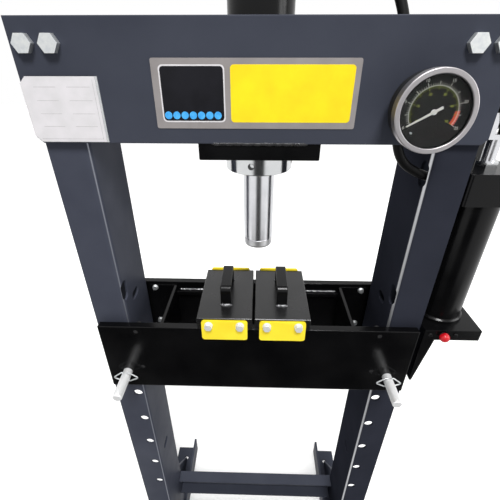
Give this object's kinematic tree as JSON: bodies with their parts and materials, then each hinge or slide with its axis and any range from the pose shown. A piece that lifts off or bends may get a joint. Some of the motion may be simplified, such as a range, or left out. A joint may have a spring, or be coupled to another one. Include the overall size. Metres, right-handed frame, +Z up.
{
  "type": "hydraulic press",
  "caption": "Floor-standing H-frame hydraulic shop press: pinned height-set bed with press blocks, overhead cylinder and ram, dial gauge, and a hand pump on the side.",
  "frame": {"origin": "on the floor, at the centre of the anchor holes, under the ram", "axes": "+Z up along the ram, +X to the pump side, -Y to the operator"},
  "size_m": [0.794, 0.58, 1.8087],
  "materials": {
    "frame_paint": "satin powder coat",
    "black_paint": "semi-gloss enamel",
    "block_paint": "matt enamel",
    "yellow_paint": "semi-gloss enamel",
    "chrome": "hard chrome",
    "turned_steel": "turned",
    "zinc": "zinc plated",
    "rubber": "matt",
    "red_plastic": "gloss",
    "gauge_case": "satin",
    "gauge_bezel": "satin",
    "gauge_dial": "matt",
    "gauge_glass": "clear",
    "needle_white": "matt",
    "brass": "machined"
  },
  "bodies": {
    "frame": {"bed_ribs": "black_paint", "cylinder_barrel": "black_paint", "cylinder_cap": "black_paint", "filler_plug": "zinc", "foot_bolts": "zinc", "foot_braces": "frame_paint", "front_bed_plate": "black_paint", "front_head_plate": "frame_paint", "gauge_bezel": "gauge_bezel", "gauge_case": "gauge_case", "gauge_dial": "gauge_dial", "gauge_glass": "gauge_glass", "gauge_stem": "brass", "head_bolts": "zinc", "head_stiffeners": "frame_paint", "hose_fittings": "zinc", "left_bed_spacer": "black_paint", "left_block_bolts": "zinc", "left_block_guides": "yellow_paint", "left_block_handle": "black_paint", "left_column": "frame_paint", "left_foot": "frame_paint", "left_press_block": "block_paint", "lever_pivot": "turned_steel", "lip_screws": "black_paint", "lower_ties": "frame_paint", "oil_tank": "black_paint", "plunger_gland": "turned_steel", "pressure_hose": "rubber", "pump_bracket": "black_paint", "pump_head": "black_paint", "rear_bed_plate": "black_paint", "rear_head_plate": "frame_paint", "release_valve_block": "black_paint", "right_bed_spacer": "black_paint", "right_block_bolts": "zinc", "right_block_guides": "yellow_paint", "right_block_handle": "black_paint", "right_column": "frame_paint", "right_foot": "frame_paint", "right_press_block": "block_paint", "ring_nut": "turned_steel", "rod_wiper": "rubber", "spacer_bolts": "zinc", "thrust_plate": "black_paint"},
    "ram": {"ram_rod": "chrome", "piston_seal": "rubber", "ram_nose": "turned_steel"},
    "needle": {"gauge_needle": "needle_white"},
    "left_pin": {"left_bed_pin": "chrome", "left_pin_loops": "zinc"},
    "right_pin": {"right_bed_pin": "chrome", "right_pin_loops": "zinc"},
    "release": {"release_knob": "red_plastic", "release_stem": "turned_steel"},
    "lever": {"pump_lever": "black_paint", "lever_bar": "chrome", "lever_grip": "rubber"},
    "plunger": {"pump_plunger": "chrome", "plunger_cross_pin": "turned_steel"}
  },
  "joints": [
    {"name": "ram_slide", "type": "slide", "parent": "frame", "child": "ram", "axis": [0, 0, -1], "range_m": [-0.105, 0.07]},
    {"name": "needle_turn", "type": "hinge", "parent": "frame", "child": "needle", "pos_m": [0.229, -0.1255, 1.5], "axis": [0, 1, 0], "range_deg": [0, 240], "stiffness_Nm_per_rad": 0.002},
    {"name": "left_pin_pull", "type": "slide", "parent": "frame", "child": "left_pin", "axis": [0, -1, 0], "range_m": [0, 0.165]},
    {"name": "right_pin_pull", "type": "slide", "parent": "frame", "child": "right_pin", "axis": [0, -1, 0], "range_m": [0, 0.165]},
    {"name": "release_turn", "type": "hinge", "parent": "frame", "child": "release", "pos_m": [0.375, -0.1, 1.074], "axis": [0, -1, 0], "range_deg": [0, 360]},
    {"name": "lever_swing", "type": "hinge", "parent": "frame", "child": "lever", "pos_m": [0.388, 0.02, 1.46], "axis": [1, 0, 0], "range_deg": [0, 40]},
    {"name": "plunger_slide", "type": "slide", "parent": "frame", "child": "plunger", "axis": [0, 0, -1], "range_m": [0, 0.031]}
  ],
  "couplings": [
    {"joint": "plunger_slide", "follows": "lever_swing", "m_per_rad": 0.043793}
  ]
}
